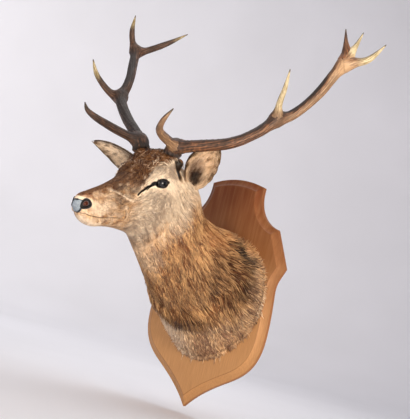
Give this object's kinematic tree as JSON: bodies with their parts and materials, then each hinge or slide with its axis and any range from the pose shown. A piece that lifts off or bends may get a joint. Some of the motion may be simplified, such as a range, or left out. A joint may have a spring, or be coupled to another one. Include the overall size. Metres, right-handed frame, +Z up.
{
  "type": "red deer stag head mount on wooden wall shield",
  "caption": "Life-size red deer stag head and neck with branched antlers, mounted on a carved wooden shield that hangs flat on a wall",
  "frame": {"origin": "the point on the shield's flat back where it hangs on the wall, on its centre line, about 100 mm below its top edge", "axes": "+Z up, +Y out of the shield's back into the wall, +X to the stag's own left; the stag looks along -Y, turned a little to its left"},
  "size_m": [0.8682, 0.6151, 1.1446],
  "materials": {
    "hide": "short fur over tanned hide",
    "eye_glass": "polished, opaque dark brown",
    "antler": "ribbed antler bone, pale polished tips",
    "varnished_wood": "satin varnish"
  },
  "bodies": {
    "root": {"board": "varnished_wood", "neck": "hide", "head": "hide", "ear_left": "hide", "ear_right": "hide", "eye_left": "eye_glass", "eye_right": "eye_glass", "antler_left_lower_beam": "antler", "antler_left_upper_beam": "antler", "antler_left_brow": "antler", "antler_left_trez": "antler", "antler_left_crown_front": "antler", "antler_left_crown_middle": "antler", "antler_left_crown_rear": "antler", "antler_right_lower_beam": "antler", "antler_right_upper_beam": "antler", "antler_right_brow": "antler", "antler_right_trez": "antler", "antler_right_crown_front": "antler", "antler_right_crown_rear": "antler"}
  },
  "joints": []
}
